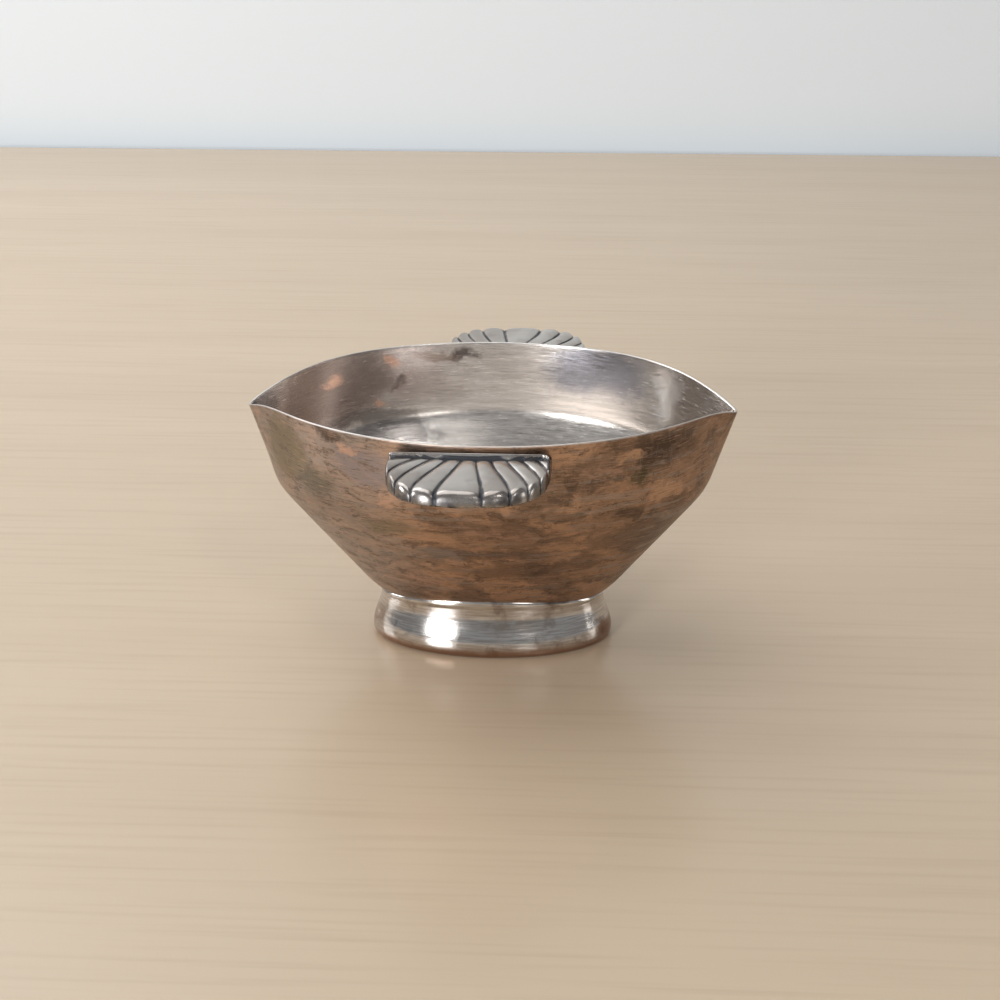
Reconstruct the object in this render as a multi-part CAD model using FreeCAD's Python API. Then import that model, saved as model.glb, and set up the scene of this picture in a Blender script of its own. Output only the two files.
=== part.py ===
import FreeCAD, Part
import math
import os

# Two-lipped oval sauce boat in silver plate on copper.
# Origin on the table under the middle of the foot, +Z up, +X to a lip, -Y to the front lug.

# Bowl
length = 180.0              # over the two lips
rim_width = 108.8           # outside, over the long sides
height = 99.6               # table to the rim at the long sides
lip_dip = 6.6               # how far the lip tips lie below the rim at the sides
dip_power = 8               # how late along the rim the dip starts
lip_pull = 10.8             # how far each lip is drawn out of the plain oval
lip_angle = 11.0            # degrees of the oval over which a lip fades
lip_round = 3.0             # degrees that keep the lip tip round
knee_height = 66.0          # where the steep upper wall meets the slanted lower wall
knee_length = 163.0         # sharp corner of the knee, over the ends
knee_width = 101.0          # sharp corner of the knee, over the sides
knee_soft = 1.2             # how far the rounded knee stays inside its sharp corner
side_lift = 5.6             # the long sides ride up when the round spinning is pressed oval
lift_run = 1.6              # height over which they come to ride up, in side lifts
seat_height = 19.0          # the lower wall where the foot is soldered on
seat_length = 88.0          # lower wall, before the bottom is rounded under
seat_width = 44.5
bottom_height = 13.5        # underside of the flat bottom
bottom_round = 9.0          # how far the bottom is rounded under
round_run = 1.4             # height of that rounding, in roundings
wall = 1.2
skin_in = 0.8               # the inner skin lies this share of the wall further in
skin_up = 0.6               # and this share higher, as the wall slants at about 3 in 4

# Foot ring
neck_length = 85.0
neck_width = 41.0
neck_straight = 4.0         # the neck is upright from here up, above the seat
foot_wall = 1.3
belly_reach = 3.9           # how far the belly stands out of the neck
belly_height = 4.6
heel_reach = 0.93           # a point of the round under the belly: shares of its reach
heel_height = 0.33          # and of its height
toe_reach = 2.2             # the resting edge, out of the neck
cove_reach = 1.0            # the hollow sweep above the belly
cove_height = 13.0
foot_trim = 1.0             # cut off below the resting edge, to leave it flat

# Shell lugs
lug_width = 55.4
lug_depth = 31.0            # from the long side of the rim outwards
lug_below_rim = 3.4         # top of the flutes, under the rim
lug_edge = 5.0              # height of the rolled outer edge
lug_power = 2.9             # squareness of the lug's outline
root_width = 49.0           # where the flutes start, at the bowl
flutes = 10
groove = 1.3                # depth between flutes
scallop = 0.035             # share of the depth that the grooves cut into the outline
edge_start = 0.8            # share of the way out where the edge starts to roll down
lug_inside = 8.0            # how far the lug's block runs into the bowl before it is trimmed
lug_skin = 1.3
lug_ledge = 3.0             # width of the ring underneath, round the backing plate
edge_share = 0.8            # the rolled edge takes at most this share of a short flute
groove_start = 0.25         # share of the way out where a groove reaches its full depth
front_shift = -5.0          # the lugs are set a little off the middle, one each way
back_shift = 7.0
backing = 1.0
backing_fit = 0.05          # gap all round each backing plate
bead = 1.0                  # thickness of a solder bead
bead_width = 1.6

ROUND_POINTS = 64
RIM_POINTS = 40
OUTLINE_POINTS = 24
FLUTE_POINTS = 8
CROWDING = 0.35             # how much closer the points round the oval are at the lips
OVERRUN = 6.0               # how far a block runs past the place where it is trimmed
LOWER_SECTIONS = (0, 0.03, 0.08, 0.16, 0.28, 0.5, 0.75, 0.92)
UPPER_SECTIONS = (0.04, 0.16, 0.3, 0.6, 1)
LUG_SECTIONS = (0, 0.1, 0.25, 0.5, 0.75, 0.85, 0.92, 1)


def soft_corner(lower, upper):
    """The smaller of two straight walls, with the corner between them rounded."""
    half_gap = (lower - upper) / 2
    return (lower + upper) / 2 - math.hypot(half_gap, knee_soft)


def wall_reach(h, seat, knee, rim, rim_height):
    """Half-breadth of the oval wall at height h, through its seat, knee and rim."""
    lower = knee / 2 + (knee - seat) / 2 * (h - knee_height) / (knee_height - seat_height)
    upper = knee / 2 + (rim - knee) / 2 * (h - knee_height) / (rim_height - knee_height)
    reach = soft_corner(lower, upper)
    round_top = bottom_height + round_run * bottom_round
    if h < round_top:
        share = min((round_top - h) / (round_top - bottom_height), 1.0)
        reach -= bottom_round * (1 - math.sqrt(1 - share ** 2))
    return reach


def lip_share(angle):
    """1 at a lip's tip, fading along the oval; the angle is measured from the nearest tip."""
    rounded = math.hypot(angle, lip_round) - lip_round
    return math.exp(-rounded / lip_angle)


def bowl_point(turn, z, inset, rise):
    """A point of the bowl's outer skin, or of the inner one when inset and raised."""
    z_skin = z - rise
    lift = side_lift * (1 - math.exp(-(z_skin - bottom_height) / (lift_run * side_lift)))
    h = z_skin - lift * math.sin(turn) ** 2
    rim_h = height - side_lift
    oval_length = length - 2 * lip_pull
    half_length = wall_reach(h, seat_length, knee_length, oval_length, height - lip_dip)
    half_width = wall_reach(h, seat_width, knee_width, rim_width, rim_h)
    from_tip = math.degrees(math.asin(min(abs(math.sin(turn)), 1.0)))
    growth = max(h - knee_height, 0) / (height - lip_dip - knee_height)
    pull = lip_pull * growth * lip_share(from_tip)
    x = (half_length - inset) * math.cos(turn) + math.copysign(pull, math.cos(turn))
    y = (half_width - inset) * math.sin(turn)
    return FreeCAD.Vector(x, y, z)


def through(points, steps, closed):
    curve = Part.BSplineCurve()
    curve.interpolate(Points=points, Parameters=steps, PeriodicFlag=closed)
    return curve


def woven(rows, along_steps, up_steps, closed):
    """A smooth surface through rows of points: a spline along each row, then one up each column of poles."""
    along = [through(row, along_steps, closed) for row in rows]
    columns = zip(*[curve.getPoles() for curve in along])
    upward = [through(list(column), up_steps, False) for column in columns]
    surface = Part.BSplineSurface()
    poles = [curve.getPoles() for curve in upward]
    u_curve, v_curve = along[0], upward[0]
    surface.buildFromPolesMultsKnots(
        poles, u_curve.getMultiplicities(), v_curve.getMultiplicities(),
        u_curve.getKnots(), v_curve.getKnots(), closed, False, u_curve.Degree, v_curve.Degree)
    return surface


def capped(tube):
    """Closes a tube whose two end rings are flat."""
    rings = [e for e in tube.Edges if e.BoundBox.ZLength < 0.01]
    caps = [Part.Face(Part.Wire([ring])) for ring in rings]
    return sewn([tube] + caps)


def sewn(faces):
    shell = Part.makeShell(faces)
    shell.sewShape()
    shell.fix(1e-6, 1e-6, 1e-6)
    solid = Part.makeSolid(shell)
    if solid.Volume < 0:
        solid.reverse()
    return solid


def crowded_turns():
    """Angles round the oval, closer together at the two lips."""
    steps = [2 * math.pi * i / ROUND_POINTS for i in range(ROUND_POINTS)]
    return [a - CROWDING * math.sin(2 * a) for a in steps]


def bowl_skin(inset, rise):
    """The bowl as a solid block, from its bottom to above its rim."""
    low = bottom_height + rise
    knee = knee_height + rise
    top = height + OVERRUN
    heights = [low + (knee - low) * s for s in LOWER_SECTIONS]
    heights += [knee + (top - knee) * s for s in UPPER_SECTIONS]
    turns = crowded_turns()
    rings = [[bowl_point(t, z, inset, rise) for t in turns] for z in heights]
    round_steps = [i / ROUND_POINTS for i in range(ROUND_POINTS + 1)]
    up_steps = [(z - low) / (top - low) for z in heights]
    return capped(woven(rings, round_steps, up_steps, True).toShape())


def above_rim():
    """Everything over the rim line, which sinks towards the lips."""
    span = length / 2 + 4 * OVERRUN
    steps = [span * (2 * i / RIM_POINTS - 1) for i in range(RIM_POINTS + 1)]
    deep = rim_width
    line = [FreeCAD.Vector(x, -deep, height - lip_dip * abs(2 * x / length) ** dip_power) for x in steps]
    curve = Part.BSplineCurve()
    curve.interpolate(line)
    top_left = FreeCAD.Vector(-span, -deep, 2 * height)
    top_right = FreeCAD.Vector(span, -deep, 2 * height)
    sides = [Part.makeLine(line[-1], top_right), Part.makeLine(top_right, top_left)]
    sides.append(Part.makeLine(top_left, line[0]))
    return Part.Face(Part.Wire([curve.toShape()] + sides)).extrude(FreeCAD.Vector(0, 2 * deep, 0))


def make_bowl(outer):
    inner = bowl_skin(skin_in * wall, skin_up * wall)
    return outer.cut(inner).cut(above_rim())


def foot_top():
    """A height well up the bowl's wall, where the foot's neck has long run into it."""
    return (seat_height + knee_height) / 2


def foot_profile():
    """Section of the foot at its lip end, from under the resting edge up past the bowl's wall."""
    neck = neck_length / 2
    outside = [(toe_reach - foot_trim, -foot_trim), (toe_reach, 0.0)]
    outside += [(heel_reach * belly_reach, heel_height * belly_height), (belly_reach, belly_height)]
    outside += [((belly_reach + cove_reach) / 2, (belly_height + cove_height) / 2)]
    outside += [(cove_reach, cove_height), (0.0, seat_height + neck_straight)]
    out_points = [FreeCAD.Vector(neck + r, 0, z) for r, z in outside]
    in_points = [FreeCAD.Vector(neck + r - foot_wall, 0, z) for r, z in outside]
    out_curve = Part.BSplineCurve()
    out_curve.interpolate(out_points)
    in_curve = Part.BSplineCurve()
    in_curve.interpolate(in_points)
    out_top = FreeCAD.Vector(neck, 0, foot_top())
    in_top = FreeCAD.Vector(neck - foot_wall, 0, foot_top())
    edges = [out_curve.toShape(), Part.makeLine(out_points[-1], out_top), Part.makeLine(out_top, in_top)]
    edges += [Part.makeLine(in_top, in_points[-1]), in_curve.toShape()]
    edges.append(Part.makeLine(in_points[0], out_points[0]))
    return Part.Wire(Part.__sortEdges__(edges))


def make_foot(outer):
    """The section carried round the neck's oval, trimmed to the bowl and cut flat where it rests."""
    neck = Part.Ellipse(FreeCAD.Vector(0, 0, 0), neck_length / 2, neck_width / 2)
    ring = Part.Wire([neck.toShape()]).makePipeShell([foot_profile()], True, True)
    low_corner = FreeCAD.Vector(-length, -length, -2 * foot_trim)
    under = Part.makeBox(2 * length, 2 * length, 2 * foot_trim, low_corner)
    return ring.cut(outer).cut(under)


def oval_band(outside, inside, low, high):
    """An upright oval tube round the neck; the two offsets are measured from the neck."""
    solids = []
    for offset in (outside, inside):
        ellipse = Part.Ellipse(FreeCAD.Vector(0, 0, low), neck_length / 2 + offset, neck_width / 2 + offset)
        face = Part.Face(Part.Wire([ellipse.toShape()]))
        solids.append(face.extrude(FreeCAD.Vector(0, 0, high - low)))
    return solids[0].cut(solids[1])


def make_foot_solder(outer, foot):
    """A bead under the bowl, in the corner inside the foot."""
    band = oval_band(-foot_wall / 2, -foot_wall - bead_width, bottom_height - 2 * bead, foot_top())
    lowered = outer.translated(FreeCAD.Vector(0, 0, -bead))
    return band.common(lowered).cut(outer).cut(foot)


def outline_share(u):
    """Superellipse: across and outward shares of the lug's outline, for u from -1 to 1."""
    turn = u * math.pi / 2
    across = math.copysign(abs(math.sin(turn)) ** (2 / lug_power), turn)
    outward_share = abs(math.cos(turn)) ** (2 / lug_power)
    return across, outward_share


def outline_point(u, shift, inset):
    across, outward_share = outline_share(u)
    x = shift + (lug_width / 2 - inset) * across
    return FreeCAD.Vector(x, -rim_width / 2 - (lug_depth - inset) * outward_share, 0)


def flute_share(u):
    """0 in a groove, 1 on the crown of a flute."""
    return abs(math.sin(flutes * math.pi * (u + 1) / 2))


def lug_point(u, v, shift):
    """Top of the shell: flutes that fan out from the root (v = 0) and roll down at the edge (v = 1)."""
    root = FreeCAD.Vector(shift + root_width / 2 * u, -rim_width / 2 + lug_inside, 0)
    full_tip = outline_point(u, shift, 0)
    tip = root + (full_tip - root) * (1 - scallop * (1 - flute_share(u)))
    reach = (tip - root).Length
    edge_run = min(lug_edge, edge_share * reach)
    bend = max(v - edge_start, 0) / (1 - edge_start) * math.pi / 2
    run = min(v / edge_start, 1) * (reach - edge_run) + edge_run * math.sin(bend)
    drop = lug_edge * (1 - math.cos(bend))
    cut = groove * (1 - flute_share(u)) * min(v / groove_start, 1) * math.cos(bend)
    place = root + (tip - root) * (run / reach)
    return place + FreeCAD.Vector(0, 0, height - lug_below_rim - drop - cut)


def flat_face(edges):
    return Part.Face(Part.Wire(Part.__sortEdges__(edges)))


def lug_block(shift):
    """The shell as a solid block: fluted top, flat underside, flat root inside the bowl's wall."""
    count = FLUTE_POINTS * flutes
    across_steps = [i / count for i in range(count + 1)]
    rows = [[lug_point(2 * s - 1, v, shift) for s in across_steps] for v in LUG_SECTIONS]
    surface = woven(rows, across_steps, LUG_SECTIONS, False)
    u_low, u_high, v_low, v_high = surface.bounds()
    left = surface.uIso(u_low).toShape()
    right = surface.uIso(u_high).toShape()
    rim_edge = surface.vIso(v_high).toShape()
    root_edge = surface.vIso(v_low).toShape()
    root_left, root_right = surface.value(u_low, v_low), surface.value(u_high, v_low)
    tip_left, tip_right = surface.value(u_low, v_high), surface.value(u_high, v_high)
    low_left = FreeCAD.Vector(root_left.x, root_left.y, tip_left.z)
    low_right = FreeCAD.Vector(root_right.x, root_right.y, tip_right.z)
    post_left = Part.makeLine(root_left, low_left)
    post_right = Part.makeLine(root_right, low_right)
    sill_left = Part.makeLine(low_left, tip_left)
    sill_right = Part.makeLine(low_right, tip_right)
    base = Part.makeLine(low_left, low_right)
    faces = [surface.toShape()]
    faces.append(flat_face([left, post_left, sill_left]))
    faces.append(flat_face([right, post_right, sill_right]))
    faces.append(flat_face([root_edge, post_left, base, post_right]))
    faces.append(flat_face([rim_edge, sill_left, base, sill_right]))
    return sewn(faces)


def lug_plate(shift, inset, low, high):
    """An upright block of the lug's plain outline, moved in all round, from one height to another."""
    us = [2 * i / OUTLINE_POINTS - 1 for i in range(OUTLINE_POINTS + 1)]
    rise = FreeCAD.Vector(0, 0, low)
    points = [outline_point(u, shift, inset) + rise for u in us]
    curve = Part.BSplineCurve()
    curve.interpolate(points)
    y_root = -rim_width / 2 + lug_inside
    back_left = FreeCAD.Vector(points[0].x, y_root, low)
    back_right = FreeCAD.Vector(points[-1].x, y_root, low)
    edges = [curve.toShape(), Part.makeLine(points[0], back_left)]
    edges += [Part.makeLine(back_left, back_right), Part.makeLine(back_right, points[-1])]
    return flat_face(edges).extrude(FreeCAD.Vector(0, 0, high - low))


def make_lug(outer, shift):
    """Stamped shell, the plate that closes it underneath, and the bead under its root."""
    floor = height - lug_below_rim - lug_edge
    ceiling = floor + lug_edge - lug_skin - groove
    cavity = lug_plate(shift, lug_ledge, floor - lug_skin, ceiling)
    shell = lug_block(shift).cut(cavity).cut(outer)
    plate = lug_plate(shift, lug_ledge + backing_fit, floor, floor + backing).cut(outer)
    grown = outer.translated(FreeCAD.Vector(0, -bead, 0))
    strip_length = lug_width - lug_ledge
    low_corner = FreeCAD.Vector(shift - strip_length / 2, -rim_width, floor - bead_width)
    strip = Part.makeBox(strip_length, rim_width, bead_width, low_corner)
    solder = strip.common(grown).cut(outer)
    return shell, plate, solder


def turned(shape):
    """The same piece on the other side of the bowl."""
    copy = shape.copy()
    copy.rotate(FreeCAD.Vector(0, 0, 0), FreeCAD.Vector(0, 0, 1), 180)
    return copy


os.makedirs("parts", exist_ok=True)
outer = bowl_skin(0, 0)
foot = make_foot(outer)
front = make_lug(outer, front_shift)
back = [turned(piece) for piece in make_lug(outer, -back_shift)]
pieces = {
    "bowl": make_bowl(outer),
    "foot_ring": foot,
    "foot_solder": make_foot_solder(outer, foot),
    "front_shell": front[0],
    "front_shell_backing": front[1],
    "front_shell_solder": front[2],
    "back_shell": back[0],
    "back_shell_backing": back[1],
    "back_shell_solder": back[2],
}
for name, shape in pieces.items():
    box = shape.optimalBoundingBox(False)
    print(name, shape.isValid(), len(shape.Solids), round(shape.Volume), box)
    shape.exportStep("parts/" + name + ".step")
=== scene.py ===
import bmesh
import bpy
import math
import numpy as np
from mathutils import Matrix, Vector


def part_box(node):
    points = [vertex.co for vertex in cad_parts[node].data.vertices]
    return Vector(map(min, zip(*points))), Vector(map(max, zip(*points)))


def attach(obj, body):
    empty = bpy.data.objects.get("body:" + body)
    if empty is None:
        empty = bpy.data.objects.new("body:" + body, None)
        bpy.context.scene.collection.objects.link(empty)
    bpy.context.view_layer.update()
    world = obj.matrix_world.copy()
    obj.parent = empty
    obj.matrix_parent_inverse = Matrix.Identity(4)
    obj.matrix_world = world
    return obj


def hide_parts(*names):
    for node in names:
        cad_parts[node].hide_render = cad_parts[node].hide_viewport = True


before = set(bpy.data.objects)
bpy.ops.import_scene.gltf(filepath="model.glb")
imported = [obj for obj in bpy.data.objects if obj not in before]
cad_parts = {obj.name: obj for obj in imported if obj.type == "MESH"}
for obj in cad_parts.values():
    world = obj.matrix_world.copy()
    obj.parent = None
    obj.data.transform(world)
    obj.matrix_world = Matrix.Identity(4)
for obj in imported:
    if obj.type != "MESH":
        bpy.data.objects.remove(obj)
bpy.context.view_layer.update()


# ---- Camera ----
# A 57.6 mm lens about 0.6 m from the boat, looking 24.5 degrees down at it from a little to the
# right of square on.

camera_data = bpy.data.cameras.new("camera")
camera_data.sensor_width = 36.0
camera_data.lens = 57.6
camera = bpy.data.objects.new("camera", camera_data)
bpy.context.collection.objects.link(camera)
camera.location = (0.02716, -0.54846, 0.30558)
camera.rotation_euler = (math.radians(65.5), 0.0, math.radians(2.52))
bpy.context.scene.camera = camera


# ---- Table and wall ----
# A pale table with a soft waxed sheen, its far edge against a pale blue-grey wall.
# They set the plain surroundings that the metal mirrors.

class Finish:
    """A metal or paint put together from nodes; each method adds a node and gives its output."""

    def __init__(self, name, roughness, metallic):
        self.material = bpy.data.materials.new(name)
        self.material.use_nodes = True
        self.tree = self.material.node_tree
        self.shader = self.tree.nodes["Principled BSDF"]
        self.shader.inputs["Roughness"].default_value = roughness
        self.shader.inputs["Metallic"].default_value = metallic
        self.place = self.tree.nodes.new("ShaderNodeTexCoord").outputs["Object"]

    def feed(self, socket, value):
        """Links an output to the socket, or sets the number or colour on the socket itself."""
        if isinstance(value, bpy.types.NodeSocket):
            self.tree.links.new(value, socket)
        elif isinstance(value, tuple) and len(value) == 3 and len(socket.default_value) == 4:
            socket.default_value = (*value, 1.0)
        else:
            socket.default_value = value

    def maths(self, operation, first, second):
        """The sum or product of two numbers, held between 0 and 1."""
        node = self.tree.nodes.new("ShaderNodeMath")
        node.operation = operation
        node.use_clamp = True
        self.feed(node.inputs[0], first)
        self.feed(node.inputs[1], second)
        return node.outputs[0]

    def scaled(self, vector, scale, centre=(0.0, 0.0, 0.0)):
        """(vector - centre) * scale, one axis at a time."""
        node = self.tree.nodes.new("ShaderNodeMapping")
        self.feed(node.inputs["Vector"], vector)
        node.inputs["Scale"].default_value = scale
        node.inputs["Location"].default_value = [-c * k for c, k in zip(centre, scale)]
        return node.outputs[0]

    def noise(self, vector, scale, detail=3.0, rough=0.5, colour=False):
        """Cloudy noise, with about scale patches to the metre."""
        node = self.tree.nodes.new("ShaderNodeTexNoise")
        self.feed(node.inputs["Vector"], vector)
        node.inputs["Scale"].default_value = scale
        node.inputs["Detail"].default_value = detail
        node.inputs["Roughness"].default_value = rough
        return node.outputs["Color" if colour else "Fac"]

    def ramp(self, value, low, high, to_low=0.0, to_high=1.0):
        """A smooth step: to_low below low, to_high above high."""
        node = self.tree.nodes.new("ShaderNodeMapRange")
        node.interpolation_type = "SMOOTHSTEP"
        self.feed(node.inputs["Value"], value)
        for socket, number in zip(node.inputs[1:5], (low, high, to_low, to_high)):
            socket.default_value = number
        return node.outputs[0]

    def mix(self, share, first, second):
        """The first colour where share is 0 and the second where it is 1."""
        node = self.tree.nodes.new("ShaderNodeMix")
        node.data_type = "RGBA"
        self.feed(node.inputs["Factor"], share)
        self.feed(node.inputs["A"], first)
        self.feed(node.inputs["B"], second)
        return node.outputs["Result"]

    def strayed(self, vector, scale, amount):
        """The position moved about by coloured noise, so that patch edges wander."""
        noise = self.noise(vector, scale, detail=5.0, rough=0.6, colour=True)
        node = self.tree.nodes.new("ShaderNodeVectorMath")
        node.operation = "MULTIPLY_ADD"
        self.feed(node.inputs[0], noise)
        node.inputs[1].default_value = amount
        self.feed(node.inputs[2], self.scaled(vector, (1, 1, 1), [a / 2 for a in amount]))
        return node.outputs[0]

    def spot(self, vector, centre, radii, soft):
        """1 inside an ellipsoid, fading to 0 at its surface over the share soft of its radius."""
        node = self.tree.nodes.new("ShaderNodeVectorMath")
        node.operation = "LENGTH"
        self.feed(node.inputs[0], self.scaled(vector, [1 / r for r in radii], centre))
        return self.ramp(node.outputs["Value"], 1.0 - soft, 1.0, 1.0, 0.0)

    def along(self, vector, axis):
        """One of the vector's three numbers."""
        node = self.tree.nodes.new("ShaderNodeSeparateXYZ")
        self.feed(node.inputs[0], vector)
        return node.outputs[axis]

    def attribute(self, name):
        """The number that a mesh keeps under this name."""
        node = self.tree.nodes.new("ShaderNodeAttribute")
        node.attribute_name = name
        return node.outputs["Fac"]

    def bump(self, value, strength, distance):
        """Raises the surface by the value, as small relief."""
        node = self.tree.nodes.new("ShaderNodeBump")
        self.feed(node.inputs["Height"], value)
        node.inputs["Strength"].default_value = strength
        node.inputs["Distance"].default_value = distance
        self.feed(self.shader.inputs["Normal"], node.outputs[0])

    def use(self, **values):
        """Feeds the shader's own sockets, named with _ for each space."""
        for name, value in values.items():
            self.feed(self.shader.inputs[name.replace("_", " ")], value)
        return self.material


def coated(finish, tone, coats):
    """Lays coats over a colour. Each coat: the pattern that it follows, the two values of the
    pattern between which it changes, its share below them and above them, and its colour."""
    for pattern, low, high, share_below, share_above, colour in coats:
        tone = finish.mix(finish.ramp(pattern, low, high, share_below, share_above), tone, colour)
    return tone


def stage_sheet(name, corners, material):
    """A flat four-cornered sheet that is not part of the object."""
    mesh = bpy.data.meshes.new(name)
    mesh.from_pydata(corners, [], [(0, 1, 2, 3)])
    sheet = bpy.data.objects.new(name, mesh)
    bpy.context.collection.objects.link(sheet)
    mesh.materials.append(material)


TABLE_HALF = 1.6
TABLE_FAR = 0.86
TABLE_NEAR = -1.9
WALL_HALF = 3.2
WALL_PLACE = TABLE_FAR + 0.02
WALL_LOW, WALL_HIGH = -0.4, 1.9
PALE_WOOD, DEEPER_WOOD, GRAIN_WOOD = (0.57, 0.45, 0.325), (0.50, 0.385, 0.27), (0.39, 0.29, 0.20)
PALE_PAINT, DEEPER_PAINT = (0.82, 0.86, 0.89), (0.79, 0.83, 0.86)

waxed = Finish("pale_table", 0.27, 0.0)
mottle = waxed.noise(waxed.scaled(waxed.place, (0.6, 9.0, 1.0)), 3.0, detail=4.0)
grain = waxed.noise(waxed.scaled(waxed.place, (5.0, 160.0, 1.0)), 2.0, detail=4.0)
wood = coated(waxed, waxed.mix(mottle, PALE_WOOD, DEEPER_WOOD),
              [(grain, 0.45, 0.8, 0.0, 0.25, GRAIN_WOOD)])
painted = Finish("pale_wall", 0.9, 0.0)
paint = painted.mix(painted.noise(painted.place, 2.0), PALE_PAINT, DEEPER_PAINT)
stage_sheet("table", [(-TABLE_HALF, TABLE_NEAR, 0), (TABLE_HALF, TABLE_NEAR, 0),
                      (TABLE_HALF, TABLE_FAR, 0), (-TABLE_HALF, TABLE_FAR, 0)],
            waxed.use(Base_Color=wood))
stage_sheet("wall", [(-WALL_HALF, WALL_PLACE, WALL_LOW), (WALL_HALF, WALL_PLACE, WALL_LOW),
                     (WALL_HALF, WALL_PLACE, WALL_HIGH), (-WALL_HALF, WALL_PLACE, WALL_HIGH)],
            painted.use(Base_Color=paint))


# ---- Lights ----
# Daylight from windows at the left, one of them in two panes, and behind, with smaller lights at
# the right. A broad ceiling light and a dim room all round keep the shadows soft.

AIM_HEIGHT = 0.06
CLEAR_SKY, PALE_SKY, DEEP_SKY = (0.97, 0.99, 1.0), (0.98, 0.99, 1.0), (0.95, 0.98, 1.0)
WARM_ROOM = (1.0, 0.98, 0.95)


def soft_box(name, azimuth, elevation, distance, size, power, colour):
    """A rectangular light turned to face the boat. Its azimuth is in degrees to the left of the
    camera's side, its elevation in degrees, and its distance and two sides in metres."""
    data = bpy.data.lights.new(name, "AREA")
    data.shape = "RECTANGLE"
    data.size, data.size_y = size
    data.energy = power
    data.color = colour
    light = bpy.data.objects.new(name, data)
    bpy.context.collection.objects.link(light)
    turn, rise = math.radians(azimuth), math.radians(elevation)
    flat = distance * math.cos(rise)
    light.location = (-flat * math.sin(turn), -flat * math.cos(turn),
                      AIM_HEIGHT + distance * math.sin(rise))
    light.rotation_euler = (math.pi / 2 - rise, 0.0, -turn)
    light.visible_camera = False


soft_box("window_left", 29.0, 8.0, 2.0, (0.44, 0.28), 12.0, CLEAR_SKY)
soft_box("window_upper", 29.0, 20.5, 2.0, (0.44, 0.18), 8.0, CLEAR_SKY)
soft_box("window_high", -28.0, 47.0, 1.6, (0.20, 0.26), 2.2, PALE_SKY)
soft_box("pale_corner", -74.0, 12.0, 1.8, (0.4, 0.6), 2.0, WARM_ROOM)
soft_box("doorway", -8.0, 44.0, 1.7, (0.20, 0.40), 0.25, WARM_ROOM)
soft_box("window_side", 82.0, 20.0, 1.7, (0.6, 0.5), 7.0, DEEP_SKY)
soft_box("window_right", -17.0, 17.0, 2.2, (0.4, 0.4), 2.0, WARM_ROOM)
soft_box("window_back", 128.0, 42.0, 1.35, (1.2, 0.9), 8.0, PALE_SKY)
soft_box("ceiling", 110.0, 78.0, 1.9, (1.6, 1.4), 11.5, PALE_SKY)

world = bpy.data.worlds.new("room")
bpy.context.scene.world = world
world.use_nodes = True
room = world.node_tree.nodes["Background"]
room.inputs["Color"].default_value = (0.79, 0.80, 0.81, 1.0)
room.inputs["Strength"].default_value = 0.345
bpy.context.scene.view_settings.view_transform = "Standard"


# ---- Bowl ----
# One sheet of silver-plated copper, spun round and then pressed oval, which lifts its long sides.
# A lip is drawn out at each end; the knee parts the steep upper wall from the slanted lower one.

bowl_low, bowl_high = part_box("bowl")
HALF_LENGTH, HALF_WIDTH = 0.0900, 0.0544
RIM_HEIGHT = float(bowl_high[2])
BOTTOM = float(bowl_low[2])
WALL = 0.0012
SKIN_IN, SKIN_UP = 0.8 * WALL, 0.6 * WALL       # from the outer skin to the inner one
LIP_DIP, RIM_POWER, RIM_PASSES = 0.0066, 8, 5   # the rim sinks as a power of x
LIP_PULL = 0.0108
LIP_ANGLE, LIP_ROUND = 11.0, 3.0                # degrees round from the tip
KNEE_HEIGHT = 0.0660
KNEE_END, KNEE_SIDE = 0.0815, 0.0505
KNEE_OUTSIDE, KNEE_INSIDE = 0.0012, 0.0005      # softness of the knee on either skin
SEAT_HEIGHT = 0.0190
SEAT_END, SEAT_SIDE = 0.0440, 0.02225
SIDE_LIFT, LIFT_RUN = 0.0056, 1.6
BOTTOM_ROUND, ROUND_RUN = 0.0090, 1.4
RIM_CROWN = 0.00040
TURNS, TURN_CROWDING = 384, 0.35
LOW_SHARE, LOW_RINGS, HIGH_RINGS = 0.12, 25, 92
CROWN_RINGS = 7
UNDER_RINGS, FLOOR_RINGS = (0.1, 0.33, 0.66), (0.66, 0.33, 0.165)
FADE_ROWS, FADE_START = 5, 3                    # the plating changes over these rows of the rim


def wall_reach(h, seat, knee, rim, rim_height, soft):
    """Half-breadth at height h: two straight walls that meet at the knee, the smaller of the two
    with a rounded corner, less a quarter ellipse where the bottom is rounded under."""
    lower = knee + (knee - seat) * (h - KNEE_HEIGHT) / (KNEE_HEIGHT - SEAT_HEIGHT)
    upper = knee + (rim - knee) * (h - KNEE_HEIGHT) / (rim_height - KNEE_HEIGHT)
    reach = (lower + upper) / 2 - np.hypot((lower - upper) / 2, soft)
    round_top = BOTTOM + ROUND_RUN * BOTTOM_ROUND
    share = np.clip((round_top - h) / (round_top - BOTTOM), 0, 1)
    return reach - BOTTOM_ROUND * (1 - np.sqrt(1 - share ** 2))


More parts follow.
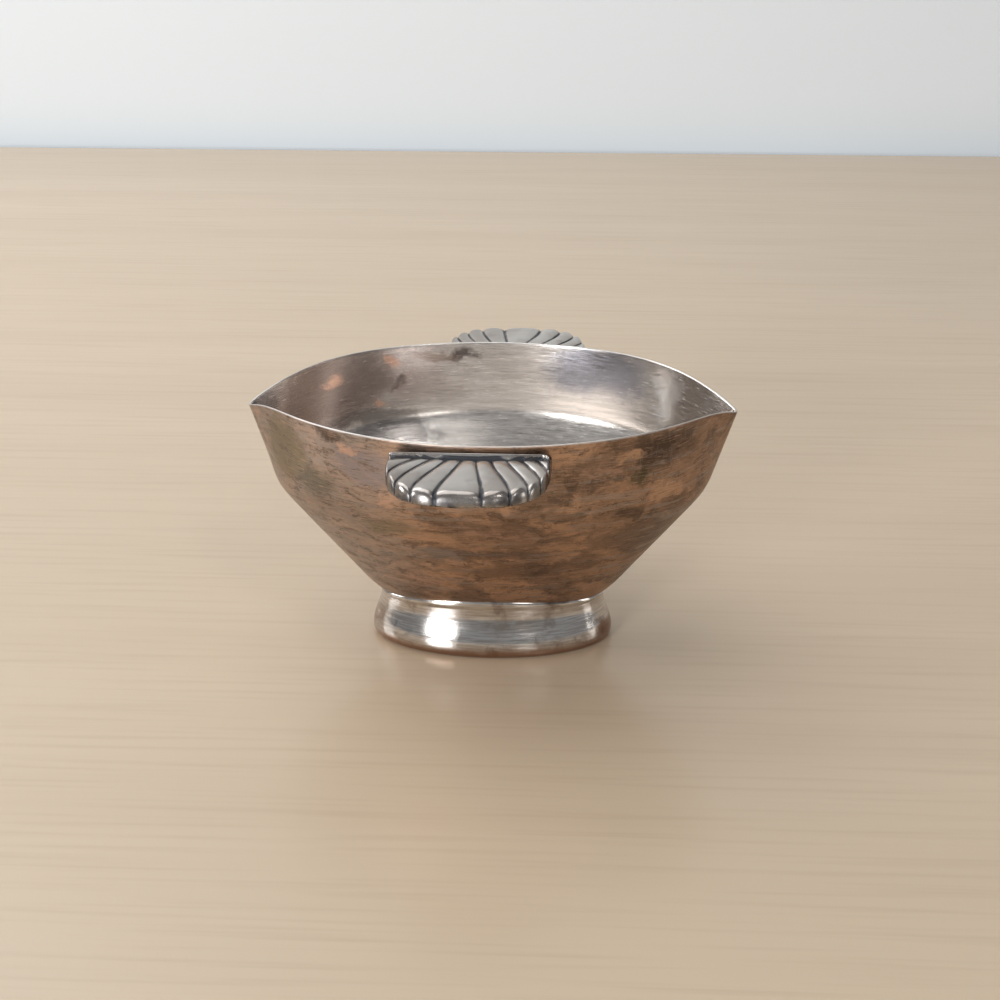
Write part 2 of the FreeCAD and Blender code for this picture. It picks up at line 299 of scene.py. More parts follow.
def bowl_skin(turn, z, inset=0.0, rise=0.0):
    """x, y, z of the skin: an oval of half-breadths from wall_reach, taken lower down the wall on
    the lifted long sides, plus the lips, which fade as an exponential of the angle from each tip.
    The inner skin is the outer one less an inset and moved up by a rise."""
    z_skin = z - rise
    lift = SIDE_LIFT * (1 - np.exp(-(z_skin - BOTTOM) / (LIFT_RUN * SIDE_LIFT)))
    h = z_skin - lift * np.sin(turn) ** 2
    tip_height = RIM_HEIGHT - LIP_DIP
    soft = KNEE_OUTSIDE if inset == 0 else KNEE_INSIDE
    ends = wall_reach(h, SEAT_END, KNEE_END, HALF_LENGTH - LIP_PULL, tip_height, soft)
    sides = wall_reach(h, SEAT_SIDE, KNEE_SIDE, HALF_WIDTH, RIM_HEIGHT - SIDE_LIFT, soft)
    from_tip = np.degrees(np.arcsin(np.clip(np.abs(np.sin(turn)), 0, 1)))
    fade = np.exp(-(np.hypot(from_tip, LIP_ROUND) - LIP_ROUND) / LIP_ANGLE)
    pull = LIP_PULL * np.clip((h - KNEE_HEIGHT) / (tip_height - KNEE_HEIGHT), 0, None) * fade
    x = (ends - inset) * np.cos(turn) + np.copysign(pull, np.cos(turn))
    y = (sides - inset) * np.sin(turn)
    return np.stack([x, y, z + 0 * x], -1)


def rim_line(turn):
    """Height of the rim: level, sinking as a power of x towards the lips."""
    z = np.full_like(turn, RIM_HEIGHT)
    for _ in range(RIM_PASSES):
        x = bowl_skin(turn, z)[..., 0]
        z = RIM_HEIGHT - LIP_DIP * np.abs(x / HALF_LENGTH) ** RIM_POWER
    return z


def round_grid(name, rings, poles=False, more_faces=()):
    """A mesh from rings of points, shape (rings, turns, 3): four-sided faces between neighbours,
    a fan to the middle of the first and the last ring if it has poles, and any more faces."""
    count, turns, _ = rings.shape
    ring = np.arange(count - 1)[:, None] * turns
    here = np.arange(turns)
    ahead = (here + 1) % turns
    quads = np.stack([ring + here, ring + ahead, ring + ahead + turns, ring + here + turns], -1)
    points = rings.reshape(-1, 3)
    faces = quads.reshape(-1, 4).tolist() + [list(face) for face in more_faces]
    if poles:
        first, last = len(points) + 0 * here, len(points) + 1 + 0 * here
        points = np.vstack([points, rings[0].mean(0), rings[-1].mean(0)])
        top = (count - 1) * turns
        faces += np.stack([ahead, here, first], -1).tolist()
        faces += np.stack([top + here, top + ahead, last], -1).tolist()
    mesh = bpy.data.meshes.new(name)
    mesh.from_pydata(points.tolist(), [], faces)
    mesh.polygons.foreach_set("use_smooth", np.ones(len(faces), bool))
    return mesh


def points_of(mesh):
    """The mesh's points as an array of shape (points, 3)."""
    points = np.empty(len(mesh.vertices) * 3)
    mesh.vertices.foreach_get("co", points)
    return points.reshape(-1, 3)


def outward(mesh):
    """Turns every face round if the closed mesh has a negative volume, which is a sixth of the
    sum over its triangles of a . (b x c)."""
    mesh.calc_loop_triangles()
    corners = np.empty(len(mesh.loop_triangles) * 3, np.int32)
    mesh.loop_triangles.foreach_get("vertices", corners)
    a, b, c = points_of(mesh)[corners.reshape(-1, 3)].transpose(1, 0, 2)
    if np.einsum("ij,ij->i", a, np.cross(b, c)).sum() < 0:
        mesh.flip_normals()
    mesh.update()


def own_share(mesh, name, values):
    """A number for each vertex, for the finish to read."""
    layer = mesh.attributes.new(name, "FLOAT", "POINT")
    layer.data.foreach_set("value", np.asarray(values, np.float32))


def new_piece(name, mesh, material, node):
    """Puts a finished mesh in the scene in place of a CAD node."""
    piece = bpy.data.objects.new(name, mesh)
    bpy.context.collection.objects.link(piece)
    mesh.materials.append(material)
    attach(piece, "root")
    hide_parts(node)


def crowded_turns(count, crowding):
    """Angles round an oval, closer together at its two ends by a sine of twice the angle."""
    even = np.linspace(0, 2 * math.pi, count + 1)[:-1]
    return even - crowding * np.sin(2 * even)


def bowl_rings(turn):
    """Rings from under the bottom up the outside, over the rim as half an ellipse, and down the
    inside to the floor. Between them, each ring lies at the same share of the way up to the rim."""
    top = rim_line(turn) - RIM_CROWN
    climb = np.concatenate([np.linspace(0, LOW_SHARE, LOW_RINGS + 1)[:-1],
                            np.linspace(LOW_SHARE, 1, HIGH_RINGS)])
    floor = BOTTOM + SKIN_UP
    up = [bowl_skin(turn, BOTTOM + s * (top - BOTTOM)) for s in climb]
    down = [bowl_skin(turn, floor + s * (top - floor), SKIN_IN, SKIN_UP) for s in climb[::-1]]
    middle, half = (up[-1] + down[0]) / 2, (up[-1] - down[0]) / 2
    over = [middle + half * math.cos(a) + [0, 0, RIM_CROWN * math.sin(a)]
            for a in np.linspace(0, math.pi, CROWN_RINGS + 2)[1:-1]]
    under = [up[0] * [s, s, 1] for s in UNDER_RINGS]
    across_floor = [down[-1] * [s, s, 1] for s in FLOOR_RINGS]
    return np.array(under + up + over + down + across_floor)


rings = bowl_rings(crowded_turns(TURNS, TURN_CROWDING))
bowl_mesh = round_grid("bowl_sheet", rings, poles=True)
outward(bowl_mesh)
points = points_of(bowl_mesh)
ring_of = np.minimum(np.arange(len(points)) // TURNS, len(rings) - 1)
past_rim = ring_of - (len(rings) - 1) // 2 + FADE_START
own_share(bowl_mesh, "inside", np.clip(past_rim / FADE_ROWS, 0, 1))
rim_of = rim_line(np.arctan2(points[:, 1] / HALF_WIDTH, points[:, 0] / HALF_LENGTH))
own_share(bowl_mesh, "below_rim", rim_of - points[:, 2])

PINK_COPPER, ORANGE_COPPER = (0.66, 0.42, 0.31), (0.59, 0.37, 0.24)
BROWN_COPPER, DARK_BROWN = (0.31, 0.207, 0.145), (0.085, 0.060, 0.046)
WARM_BROWN, DEEP_BROWN = (0.16, 0.105, 0.075), (0.15, 0.105, 0.08)
OLIVE, DARK_OLIVE = (0.24, 0.20, 0.125), (0.085, 0.085, 0.048)
GREY_PLATE, VIOLET_PLATE = (0.38, 0.33, 0.30), (0.33, 0.285, 0.295)
SATIN_SILVER, DULL_SILVER, RIM_SILVER = (0.80, 0.74, 0.69), (0.64, 0.59, 0.55), (0.62, 0.59, 0.56)
BROWN_FILM, GREY_FILM = (0.25, 0.20, 0.18), (0.20, 0.16, 0.15)
OUTSIDE_ROUGH, INSIDE_ROUGH = 0.42, 0.20
MM = 0.001

# Each patch (most are stains, a few are painted light and shade): its middle and its half-breadths
# in millimetres, its colour and its strength.
OUTSIDE_STAINS_AND_PAINTED_LIGHT = [
    ((-74, -22, 84), (16, 16, 15), OLIVE, 0.75),
    ((-60, -34, 77), (13, 12, 9), DARK_OLIVE, 0.60),
    ((-42, -44, 88), (15, 14, 10), VIOLET_PLATE, 0.85),
    ((-54, -40, 96), (13, 9, 3.0), DARK_BROWN, 0.85),
    ((-47, -43, 92), (5, 4, 3), PINK_COPPER, 0.80),
    ((-36, -45, 76), (6, 5, 6), PINK_COPPER, 0.65),
    ((-32, -41, 63), (13, 9, 6), OLIVE, 0.70),
    ((-10, -40, 58), (26, 12, 5.5), ORANGE_COPPER, 0.70),
    ((-27, -24, 33), (12, 9, 6), PINK_COPPER, 0.55),
    ((8, -30, 42), (28, 12, 6), DARK_BROWN, 0.55),
    ((-4, -36, 51), (30, 12, 3), DARK_BROWN, 0.45),
    ((20, -44, 70), (18, 9, 4), DARK_BROWN, 0.45),
    ((-20, -34, 50), (14, 9, 5), GREY_PLATE, 0.60),
    ((5, -42, 62), (14, 9, 4), PINK_COPPER, 0.40),
    ((45, -30, 56), (12, 9, 8), BROWN_COPPER, 0.70),
    # Painted sheen: a tall orange patch low on the front right, standing in for an upright
    # reflection.
    ((34, -26, 40), (7, 9, 13), ORANGE_COPPER, 0.55),
    ((62, -33, 93), (24, 18, 9), DARK_BROWN, 0.95),
    ((49, -42, 92), (7, 5, 3.5), ORANGE_COPPER, 0.95),
    ((53, -39, 84), (8, 6, 6), DARK_OLIVE, 0.95),
    ((31, -48, 84), (6, 5, 5), DARK_BROWN, 0.70),
    ((41, -45, 87), (8, 5, 5), PINK_COPPER, 0.45),
    ((63, -32, 75), (10, 9, 5), ORANGE_COPPER, 0.80),
    ((51, -37, 68), (8, 6, 5.5), DARK_BROWN, 0.75),
    ((73, -23, 81), (4, 5, 5), GREY_PLATE, 0.60),
]
INSIDE_STAINS_AND_PAINTED_LIGHT = [
    ((-62, 28, 88), (46, 34, 26), (0.23, 0.172, 0.148), 0.88),
    ((-84, 2, 88), (17, 16, 16), (0.13, 0.105, 0.10), 0.85),
    ((-62, 30, 90), (9, 9, 5), PINK_COPPER, 0.85),
    ((-43, 44, 93), (4, 5, 4), PINK_COPPER, 0.90),
    ((-41, 44, 85), (4, 4, 4), (0.10, 0.075, 0.065), 0.90),
    ((-45, 41, 78), (4, 4, 3), PINK_COPPER, 0.95),
    ((-15, 52, 95), (10, 5, 3.5), (0.12, 0.09, 0.08), 0.85),
    ((-26, 49, 95), (12, 8, 3), BROWN_COPPER, 0.55),
    ((-30, 46, 84), (18, 12, 10), (0.42, 0.34, 0.30), 0.55),
    # Painted reflection: a dark band along the far-left knee, standing in for the near wall
    # mirrored there.
    ((-52, 38, 73), (30, 14, 4), (0.13, 0.11, 0.10), 0.62),
    # Painted shade: a darker bluish patch on the right inner wall that dims its reflection.
    ((38, 43, 91), (32, 20, 14), (0.30, 0.295, 0.33), 0.90),
    # Painted shade: a darker patch on the far-left knee that dims a lamp's reflection there.
    ((-40, 39.5, 66), (24, 11, 9), (0.24, 0.215, 0.20), 0.95),
    # Painted highlight: a near-white patch high on the right inner wall, standing in for a window's
    # reflection.
    ((66, 29, 86), (8, 10, 15), (0.98, 0.96, 0.94), 0.95),
    ((82, 8, 90), (12, 12, 9), (0.90, 0.86, 0.82), 0.70),
]


def lay_patches(finish, tone, place, stains, soft, broken=1.0):
    """Lays patches over a colour, both stains and painted light: each is a spot with a soft edge,
    broken up by a pattern.
    """
    for middle, breadths, colour, strength in stains:
        spot = finish.spot(place, [c * MM for c in middle], [r * MM for r in breadths], soft)
        share = finish.maths("MULTIPLY", finish.maths("MULTIPLY", spot, broken), strength)
        tone = finish.mix(share, tone, colour)
    return tone


plate = Finish("worn_plate", 0.36, 1.0)
stray = plate.strayed(plate.place, 55.0, (0.028, 0.028, 0.013))
stray_fine = plate.strayed(stray, 240.0, (0.009, 0.009, 0.0035))
across = plate.along(plate.strayed(plate.place, 30.0, (0.030, 0.0, 0.0)), "X")
blotch = plate.noise(stray, 42.0, detail=6.0, rough=0.62)
streak_wide = plate.noise(plate.scaled(plate.place, (1.0, 1.0, 14.0)), 38.0, detail=6.0, rough=0.62)
streak_mid = plate.noise(plate.scaled(stray_fine, (1.0, 1.0, 3.6)), 95.0, detail=7.0, rough=0.72)
streak_fine = plate.noise(plate.scaled(plate.place, (1.0, 1.0, 13.0)), 190.0,
                          detail=5.0, rough=0.65)
cross_fine = plate.noise(plate.scaled(plate.place, (9.0, 9.0, 0.9)), 170.0, detail=3.0, rough=0.6)

outer = plate.mix(plate.ramp(blotch, 0.43, 0.57), BROWN_COPPER, ORANGE_COPPER)
outer = coated(plate, outer, [
    (across, -0.048, -0.012, 0.72, 0.0, GREY_PLATE),
    (across, 0.028, 0.060, 0.0, 0.50, WARM_BROWN),
    (streak_wide, 0.52, 0.62, 0.0, 0.60, GREY_PLATE),
    (streak_mid, 0.37, 0.50, 0.72, 0.0, DEEP_BROWN),
    (streak_mid, 0.54, 0.66, 0.0, 0.45, PINK_COPPER),
])
outer = lay_patches(plate, outer, stray_fine, OUTSIDE_STAINS_AND_PAINTED_LIGHT, 0.55,
                plate.ramp(streak_mid, 0.34, 0.56, 0.35, 1.0))
outer = coated(plate, outer, [
    (streak_fine, 0.53, 0.70, 0.0, 0.55, PINK_COPPER),
    (streak_fine, 0.32, 0.47, 0.60, 0.0, DARK_BROWN),
    (cross_fine, 0.54, 0.74, 0.0, 0.22, GREY_PLATE),
])
inner = plate.mix(plate.ramp(streak_wide, 0.35, 0.65), DULL_SILVER, SATIN_SILVER)
inner = lay_patches(plate, inner, stray_fine, INSIDE_STAINS_AND_PAINTED_LIGHT, 0.6)
inner = coated(plate, inner, [
    (streak_fine, 0.30, 0.46, 0.35, 0.0, GREY_FILM),
    (blotch, 0.60, 0.72, 0.0, 0.45, BROWN_FILM),
])
inside = plate.attribute("inside")
tone = coated(plate, plate.mix(inside, outer, inner),
              [(plate.attribute("below_rim"), 0.00025, 0.0006, 0.6, 0.0, RIM_SILVER)])
skin_rough = plate.along(plate.mix(inside, (OUTSIDE_ROUGH,) * 3, (INSIDE_ROUGH,) * 3), "X")
rough = plate.maths("ADD", skin_rough, plate.ramp(streak_fine, 0.3, 0.7, -0.05, 0.08))
plate.bump(streak_fine, 0.14, 0.0002)
plate.use(Base_Color=tone, Roughness=rough)
new_piece("bowl_sheet", bowl_mesh, plate.material, "bowl")


# ---- Foot ring ----
# One oval band of silver-plated copper, swaged to a belly over a turned-in resting edge.
# A hollow sweep runs up to the neck, which is scribed to the bowl and soldered under it.

NECK_END, NECK_SIDE = 0.0425, 0.0205            # half the neck's length and half its width
FOOT_WALL = 0.0013
FOOT_SECTION = np.array([(2.2, 0.0), (3.6, 1.5), (3.9, 4.2), (3.3, 7.2), (2.0, 11.0),
                         (0.75, 14.8), (0.25, 17.5), (0.15, 20.0)]) * MM
SPAN_POINTS, SECTION_TOP = 12, 0.0165
FOOT_BEAD, BEAD_START, BEAD_POWER = 0.0004, 0.45, 0.8
FOOT_TURNS, FOOT_CROWDING = 256, 0.2
NECK_RINGS, LINING_RINGS = 21, 6
BEAD_OUT, SUNK_IN = 0.0003, 0.0002              # where the neck meets the bowl, and how far inside
HALVINGS, AIM_PASSES = 30, 4
TINY, NEAR_AXIS = 1e-9, 1e-6


def through_points(points, per_span):
    """Catmull-Rom curve: each span is a cubic whose end slopes are half the chord over its
    neighbours."""
    ends = np.vstack([2 * points[0] - points[1], points, 2 * points[-1] - points[-2]])
    t = np.linspace(0, 1, per_span, endpoint=False)[:, None]
    spans = []
    for a, b, c, d in zip(ends[:-3], ends[1:-2], ends[2:-1], ends[3:]):
        spans.append(b + (c - a) / 2 * t + (2 * a - 5 * b + 4 * c - d) / 2 * t ** 2
                     + (3 * b - a - 3 * c + d) / 2 * t ** 3)
    return np.vstack(spans + [points[-1:]])


def beside_neck(turn, offset, z):
    """A point of the neck's oval moved out along the oval's own normal."""
    normal = np.stack([np.cos(turn) / NECK_END, np.sin(turn) / NECK_SIDE], -1)
    normal /= np.linalg.norm(normal, axis=-1, keepdims=True)
    x = NECK_END * np.cos(turn) + offset * normal[..., 0]
    y = NECK_SIDE * np.sin(turn) + offset * normal[..., 1]
    return np.stack([x, y, z + 0 * x], -1)


def meets_bowl(turn, offset):
    """Height where the upright through a point beside the neck enters the bowl, by halving a span.
    At each height the bowl's oval is found along the same direction, by aiming again."""
    x, y = beside_neck(turn, offset, 0.0)[..., :2].T
    low, high = np.full_like(turn, BOTTOM), np.full_like(turn, KNEE_HEIGHT)
    for _ in range(HALVINGS):
        z = (low + high) / 2
        aim = turn.copy()
        for _ in range(AIM_PASSES):
            ring = bowl_skin(aim, z)
            cos, sin = np.cos(aim), np.sin(aim)
            ends = ring[..., 0] / np.where(np.abs(cos) < TINY, TINY, cos)
            sides = ring[..., 1] / np.where(np.abs(sin) < TINY, TINY, sin)
            sides = np.where(np.abs(sin) < NEAR_AXIS, ends / 2, sides)
            ends = np.where(np.abs(cos) < NEAR_AXIS, 2 * sides, ends)
            aim = np.arctan2(y / sides, x / ends)
        inside_bowl = (x / ends) ** 2 + (y / sides) ** 2 < 1
        low, high = np.where(inside_bowl, low, z), np.where(inside_bowl, z, high)
    return (low + high) / 2


def foot_rings(turn):
    """Rings up the outside of the section, straight on to the bowl with a small bead in between,
    back down the inside and round to the start."""
    line = through_points(FOOT_SECTION, SPAN_POINTS)
    line = line[line[:, 1] < SECTION_TOP]
    reach, height = line[-1]
    top_out = meets_bowl(turn, BEAD_OUT) + SUNK_IN
    top_in = meets_bowl(turn, -FOOT_WALL) + SUNK_IN
    rings = [beside_neck(turn, r, z) for r, z in line]
    for s in np.linspace(0, 1, NECK_RINGS + 1)[1:]:
        swell = np.clip((s - BEAD_START) / (1 - BEAD_START), 0, 1)
        bead = FOOT_BEAD * np.sin(swell * math.pi) ** BEAD_POWER
        rings.append(beside_neck(turn, reach * (1 - s) + bead, height * (1 - s) + top_out * s))
    for s in np.linspace(0, 1, LINING_RINGS):
        rings.append(beside_neck(turn, reach * s - FOOT_WALL, height * s + top_in * (1 - s)))
    rings += [beside_neck(turn, r - FOOT_WALL, z) for r, z in line[-2::-1]]
    return np.array(rings + rings[:1])


def welded(mesh, distance, half_turn=False):
    """Merges points that coincide and drops the faces that leaves without area, after half a turn
    about the upright axis where one is asked for."""
    work = bmesh.new()
    work.from_mesh(mesh)
    if half_turn:
        turned = Matrix.Rotation(math.pi, 3, "Z")
        bmesh.ops.rotate(work, verts=work.verts, cent=(0, 0, 0), matrix=turned)
    bmesh.ops.remove_doubles(work, verts=work.verts, dist=distance)
    bmesh.ops.dissolve_degenerate(work, edges=work.edges, dist=distance)
    bmesh.ops.recalc_face_normals(work, faces=work.faces)
    work.to_mesh(mesh)
    work.free()
    mesh.polygons.foreach_set("use_smooth", np.ones(len(mesh.polygons), bool))


foot_mesh = round_grid("foot_band", foot_rings(crowded_turns(FOOT_TURNS, FOOT_CROWDING)))
welded(foot_mesh, 1e-7)
outward(foot_mesh)

FOOT_SILVER, FOOT_DULL = (0.74, 0.71, 0.68), (0.52, 0.48, 0.45)
FOOT_FILM, WORN_EDGE = (0.27, 0.21, 0.18), (0.33, 0.185, 0.125)
FOOT_STAINS_AND_PAINTED_LIGHT = [
    ((-44, -6, 9), (5, 9, 6), (0.30, 0.19, 0.14), 0.7),
    ((44, -8, 6), (6, 10, 4), (0.26, 0.15, 0.11), 0.8),
    ((-34, -14, 8), (6, 8, 4), (0.16, 0.16, 0.19), 0.8),
    # Painted shade: a dark band along the top of the neck at the right, for the gap under the bowl.
    ((30, -15, 22), (26, 9, 2.4), (0.12, 0.085, 0.07), 0.95),
    # Painted reflection: a tan band across the front of the belly, standing in for the table
    # mirrored there.
    ((10, -22, 14), (24, 6, 4), (0.40, 0.33, 0.27), 0.6),
]
silver = Finish("foot_silver", 0.14, 1.0)
foot_stray = silver.strayed(silver.place, 120.0, (0.006, 0.006, 0.004))
foot_blotch = silver.noise(foot_stray, 70.0, detail=6.0, rough=0.65)
foot_streak = silver.noise(silver.scaled(silver.place, (1.0, 1.0, 16.0)), 110.0,
                           detail=5.0, rough=0.6)
foot_tone = silver.mix(silver.ramp(foot_streak, 0.35, 0.65), FOOT_DULL, FOOT_SILVER)
foot_tone = coated(silver, foot_tone, [
    (foot_blotch, 0.52, 0.66, 0.0, 0.75, FOOT_FILM),
    (silver.along(foot_stray, "Z"), 0.0018, 0.0052, 0.85, 0.0, WORN_EDGE),
])
foot_tone = lay_patches(silver, foot_tone, foot_stray, FOOT_STAINS_AND_PAINTED_LIGHT, 0.6,
                    silver.ramp(foot_blotch, 0.42, 0.56))
silver.bump(foot_streak, 0.10, 0.0002)
silver.use(Base_Color=foot_tone, Roughness=silver.ramp(foot_blotch, 0.35, 0.7, 0.06, 0.18))
new_piece("foot_band", foot_mesh, silver.material, "foot_ring")


# ---- Shell lugs ----
# Two stamped silver shells, soldered to the long sides, with ten fluted lobes that fan out from
# a raised bar. Their edges roll down to a flat underside. Blackening stayed in the grooves.
# Painted shade darkens the rolled edges and the bar's face, and the bar's top has a painted
# highlight.

LUG_HALF, LUG_DEPTH, LUG_POWER = 0.0277, 0.0310, 2.9
LUG_TILT = 6.0                                  # degrees that the fan leans over in the middle
LUG_FLOOR, LUG_TOP, LUG_CEILING, FLANGE = 0.0912, 0.0962, 0.0935, 0.0950
LUG_LEDGE = 0.0030
INTO_WALL = 0.0005
FRONT_SHIFT, BACK_SHIFT = -0.0050, -0.0070      # each seen from its own side
FRONT_ROOT, BACK_ROOT = -0.0025, -0.0035        # where the middle groove starts
BAR_Y, BAR_TOP, BAR_HALF, BAR_POWER = -0.0556, 0.0977, 0.00048, 4
BAR_END, BAR_CORNER, BAR_FOOT = 0.0268, 0.0024, -0.0680
BAR_EDGE = 0.3                                  # share of the ridge from which it stands proud
BRIGHT_BELOW, BRIGHT_RUN = 0.0010, 0.0006       # only the top of the bar is painted highlight, its face painted shade
LOBES, LOBE_POINTS = 10, 18
GROOVE_SPACING, LEFT_SPREAD, RIGHT_SPREAD = 0.0050, 0.0035, 0.0002
LOBE_CROWN, NOTCH, NOTCH_POWER = 0.97, 0.00055, 0.7
LOBE_SWEEP = 0.13
SHALLOW, DEEPER, DEEPER_RUN = 0.0007, 0.0011, 1.2
ARCH_RUN = 0.09
EDGE_ROLL, ROLL_SHARE, ROLL_FADE = 0.0034, 0.7, 0.85
LEAST_REACH = 0.0012
FLANGE_ROWS, FLANGE_POWER = 16, 1.7
LOBE_ROWS, LOBE_POWER, ROLL_ROWS = 55, 1.5, 14
BLACK_START, BLACK_RUN = 0.70, 0.28             # how near a groove's middle the blackening lies
# The third of these is painted shade on the lobes' rolled-down edges, standing in for dark
# reflections; the first two set the grooves' blackening.
BLACK_ROOT, BLACK_MORE, ROLL_SHADE = 0.50, 0.35, 0.55
WALL_PASSES = 8


def smooth_step(t):
    """0 to 1 as 3t^2 - 2t^3, level at both ends."""
    t = np.clip(t, 0, 1)
    return t * t * (3 - 2 * t)


def lug_outline(s, shift, inset):
    """Tip of lobe line s: a superellipse round the shift, its angle running evenly with s."""
    side = s / (LOBES / 2)
    angle = np.radians(90 * side + LUG_TILT * (1 - side ** 2))
    across = np.sign(np.sin(angle)) * np.abs(np.sin(angle)) ** (2 / LUG_POWER)
    out = np.abs(np.cos(angle)) ** (2 / LUG_POWER)
    return shift + (LUG_HALF - inset) * across, -HALF_WIDTH - (LUG_DEPTH - inset) * out


def wall_line(x, z):
    """Y a little inside the bowl's outer skin on the front side, at x and height z."""
    turn = -np.pi / 2 + np.arcsin(np.clip(x / HALF_LENGTH, -0.9, 0.9))
    for _ in range(WALL_PASSES):
        place = bowl_skin(turn, z)
        turn = turn + np.clip((x - place[..., 0]) / HALF_LENGTH, -0.1, 0.1)
    return bowl_skin(turn, z)[..., 1] + INTO_WALL


def lug_top(s, shift, middle_root):
    """Top of a front lug as rows from the wall to the underside, with the share of blackening and
    painted shade at each point. A level flange runs from the wall to the bar. From there each line
    s fans out to its tip as a power of a smooth step, lies lower by the groove's depth times how
    far it is down from the lobe's round crown, and at the edge turns down through a quarter circle,
    where painted shade darkens it more as it turns."""
    last_lobe = LOBES / 2 - 1
    phase = np.abs(2 * (s - np.floor(s)) - 1)
    crown = np.sqrt(1 - LOBE_CROWN * phase ** 2)
    root = (middle_root + GROOVE_SPACING * s - LEFT_SPREAD * smooth_step(-s - last_lobe)
            + RIGHT_SPREAD * smooth_step(s - last_lobe))
    tip_x, tip_y = lug_outline(s, shift, 0.0)
    in_x, in_y = tip_x - shift, tip_y + HALF_WIDTH
    notch = NOTCH * (1 - crown ** NOTCH_POWER) / np.hypot(in_x, in_y)
    tip_x, tip_y = tip_x - in_x * notch, tip_y - in_y * notch

    v = 1 - (1 - np.linspace(0, 1, FLANGE_ROWS)[:, None]) ** FLANGE_POWER
    wall_y = wall_line(root, FLANGE)
    y = wall_y + (BAR_Y - wall_y) * v
    flange = np.stack([root + 0 * y, y, FLANGE + 0 * y], -1)

    run = np.linspace(0, 1, LOBE_ROWS + 1)[1:] ** LOBE_POWER
    share = np.concatenate([run, np.ones(ROLL_ROWS)])[:, None]
    quarter = np.linspace(0, math.pi / 2, ROLL_ROWS + 1)[1:]
    bend = np.concatenate([np.zeros(LOBE_ROWS), quarter])[:, None]
    total = np.hypot(np.maximum(BAR_Y - tip_y, LEAST_REACH), tip_x - root)
    roll = np.minimum(EDGE_ROLL, ROLL_SHARE * total)
    v = (share * (total - roll) + roll * np.sin(bend)) / total
    x = root + (tip_x - root) * smooth_step(v) ** (1 - LOBE_SWEEP * np.abs(s))
    y = BAR_Y + (tip_y - BAR_Y) * v
    arch = smooth_step(v / ARCH_RUN)
    deep = (SHALLOW + DEEPER * smooth_step(v * DEEPER_RUN)) * np.cos(bend * ROLL_FADE)
    z = FLANGE + (LUG_TOP - FLANGE) * arch - deep * (1 - crown) * arch
    z = LUG_FLOOR + (z - LUG_FLOOR) * np.cos(bend)
    lobes = np.stack([x, y, z], -1)

    in_groove = smooth_step((phase - BLACK_START) / BLACK_RUN) * (BLACK_ROOT + BLACK_MORE * arch)
    # Blackening in the grooves and on the flange, plus painted shade on the edges as they roll
    # down.
    blackening_and_shade = np.maximum(np.maximum(in_groove, 1 - arch), ROLL_SHADE * np.sin(bend))
    return np.concatenate([flange, lobes]), np.concatenate([np.ones(flange.shape[:2]), blackening_and_shade])


def barred(top, blackening_and_shade, shift):
    """Raises the bar: a ridge that falls off as an exponential of a power of the distance from
    a line along the bar, round its corner and back down its right side, fading at its foot.
    The bar's top gets a painted highlight and its face below gets painted shade."""
    x, y = top[..., 0] - shift, top[..., 1]
    corner_x, corner_y = BAR_END - BAR_CORNER, BAR_Y - BAR_CORNER
    round_corner = np.abs(np.hypot(x - corner_x, y - corner_y) - BAR_CORNER)
    beside = np.where(y > corner_y, round_corner, np.abs(x - BAR_END))
    away = np.where(x < corner_x, np.abs(y - BAR_Y), beside)
    fade = smooth_step((y - BAR_FOOT) / (BAR_Y - BAR_FOOT))
    ridge = np.exp(-(away / BAR_HALF) ** BAR_POWER) * np.where(y < corner_y, fade, 1.0)
    raised = np.maximum(top[..., 2], LUG_FLOOR + (BAR_TOP - LUG_FLOOR) * ridge)
    z = np.where(ridge > BAR_EDGE, raised, top[..., 2])
    # Painted highlight on the top of the bar; below it the bar's face is painted shade.
    painted_top_light = smooth_step((z - BAR_TOP + BRIGHT_BELOW) / BRIGHT_RUN)
    return np.stack([top[..., 0], y, z], -1), np.where(ridge > BAR_EDGE, 1 - painted_top_light, blackening_and_shade)


def lug_mesh(name, shift, middle_root, half_turn):
    """A lug as rings round its section: over the top, down one side, back under the hollow and
    up the other side. Faces across the first ring close it inside the bowl's wall."""
    s = np.linspace(-LOBES / 2, LOBES / 2, LOBES * LOBE_POINTS + 1)
    top, blackening_and_shade = barred(*lug_top(s, shift, middle_root), shift)
    count, columns, _ = top.shape
    inner_x, inner_y = lug_outline(s, shift, LUG_LEDGE)
    start_x = np.clip(top[0, :, 0], inner_x.min(), inner_x.max())
    ceiling = np.full(columns, LUG_CEILING)
    start = np.stack([start_x, wall_line(start_x, LUG_CEILING), ceiling], -1)
    end = np.stack([inner_x, inner_y, ceiling], -1)
    step_down = np.stack([inner_x, inner_y, np.full(columns, LUG_FLOOR)], -1)
    hollow = start + (end - start) * np.linspace(0, 1, count - 2)[:, None, None]
    below = np.concatenate([hollow, step_down[None], top[-1:]])

    def side(column):
        """The two lower edges of one side, both on the lug's floor."""
        edge, ledge = top[:, column].copy(), below[:, column].copy()
        edge[:, 2] = ledge[:, 2] = LUG_FLOOR
        ledge[-1] = edge[-1]
        return edge[:, None], ledge[:, None]

    (left_edge, left_ledge), (right_edge, right_ledge) = side(0), side(-1)
    rings = np.concatenate([top, right_edge, right_ledge, below[:, ::-1], left_ledge, left_edge], 1)
    around = rings.shape[1]
    c = np.arange(columns - 1)
    facing = 2 * columns + 1 - c
    closing = np.stack([c, c + 1, facing - 1, facing], -1).tolist()
    closing += [range(columns - 1, columns + 3), (0, around - 1, around - 2, around - 3)]
    mesh = round_grid(name, rings, more_faces=closing)
    shares = np.zeros(rings.shape[:2])
    # The "groove" share holds the grooves' blackening and the painted shade on the bar's face and
    # the rolled edges.
    shares[:, :columns] = blackening_and_shade
    own_share(mesh, "groove", shares.ravel())
    welded(mesh, 1e-6, half_turn)
    outward(mesh)
    return mesh


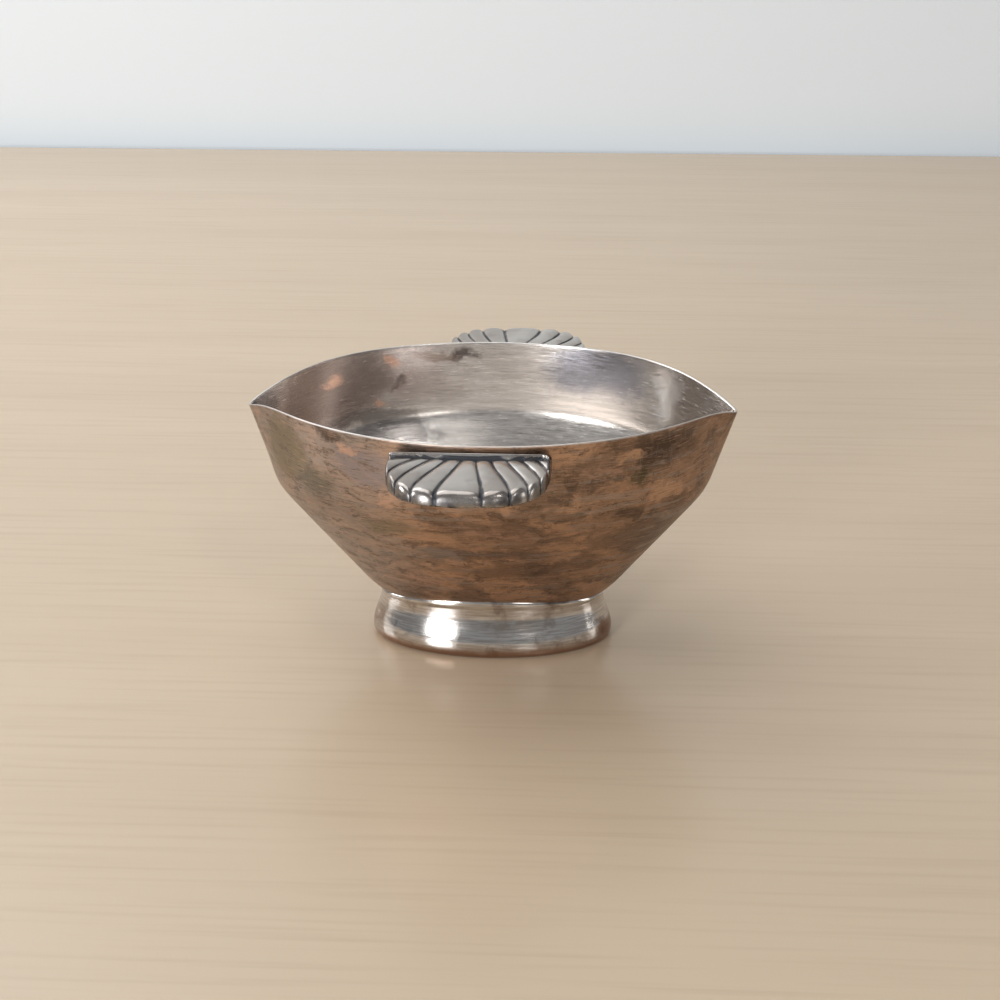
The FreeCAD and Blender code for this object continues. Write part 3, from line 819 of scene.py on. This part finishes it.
SHELL_SILVER, SHELL_DULL = (0.52, 0.49, 0.465), (0.36, 0.32, 0.29)
SHELL_FILM, BLACK_AND_SHADE = (0.26, 0.22, 0.20), (0.045, 0.047, 0.055)
shell = Finish("shell_silver", 0.30, 1.0)
shell_fine = shell.noise(shell.place, 160.0, detail=6.0, rough=0.6)
shell_wide = shell.noise(shell.place, 45.0, detail=4.0, rough=0.5)
# Blackening in the grooves, and painted shade on the bar's face and the rolled edges, from the
# "groove" share.
blackened_and_shaded = shell.maths("ADD", shell.attribute("groove"),
                        shell.ramp(shell_fine, 0.3, 0.7, -0.15, 0.15))
shell_tone = shell.mix(shell.ramp(shell_wide, 0.38, 0.62), SHELL_DULL, SHELL_SILVER)
shell_tone = coated(shell, shell_tone, [
    (shell_fine, 0.52, 0.75, 0.0, 0.6, SHELL_FILM),
    (blackened_and_shaded, 0.25, 0.80, 0.0, 0.97, BLACK_AND_SHADE),
])
shell.bump(shell_fine, 0.12, 0.0003)
shell.use(Base_Color=shell_tone, Roughness=shell.ramp(blackened_and_shaded, 0.2, 0.9, 0.22, 0.45))
new_piece("front_lug", lug_mesh("front_lug", FRONT_SHIFT, FRONT_ROOT, False),
          shell.material, "front_shell")
new_piece("back_lug", lug_mesh("back_lug", BACK_SHIFT, BACK_ROOT, True),
          shell.material, "back_shell")


# ---- Backing plates and solder ----
# A thin copper plate closes each shell underneath, and dull grey solder holds shells and foot to
# the bowl. They keep the shapes of the fixed frame and take only their finishes here.

copper = Finish("backing_copper", 0.42, 1.0)
copper_noise = copper.noise(copper.place, 90.0, detail=5.0, rough=0.6)
copper.bump(copper_noise, 0.15, 0.0003)
copper.use(Base_Color=copper.mix(copper.ramp(copper_noise, 0.35, 0.65),
                                 (0.22, 0.13, 0.09), (0.48, 0.29, 0.20)))
bead = Finish("solder", 0.45, 1.0)
bead_noise = bead.noise(bead.place, 220.0, detail=4.0, rough=0.6)
bead.bump(bead_noise, 0.35, 0.0004)
bead.use(Base_Color=bead.mix(bead.ramp(bead_noise, 0.35, 0.65),
                             (0.20, 0.19, 0.19), (0.42, 0.41, 0.40)))
for node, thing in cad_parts.items():
    if node.endswith("_backing") or node.endswith("solder"):
        thing.data.materials.clear()
        thing.data.materials.append(copper.material if node.endswith("_backing") else bead.material)
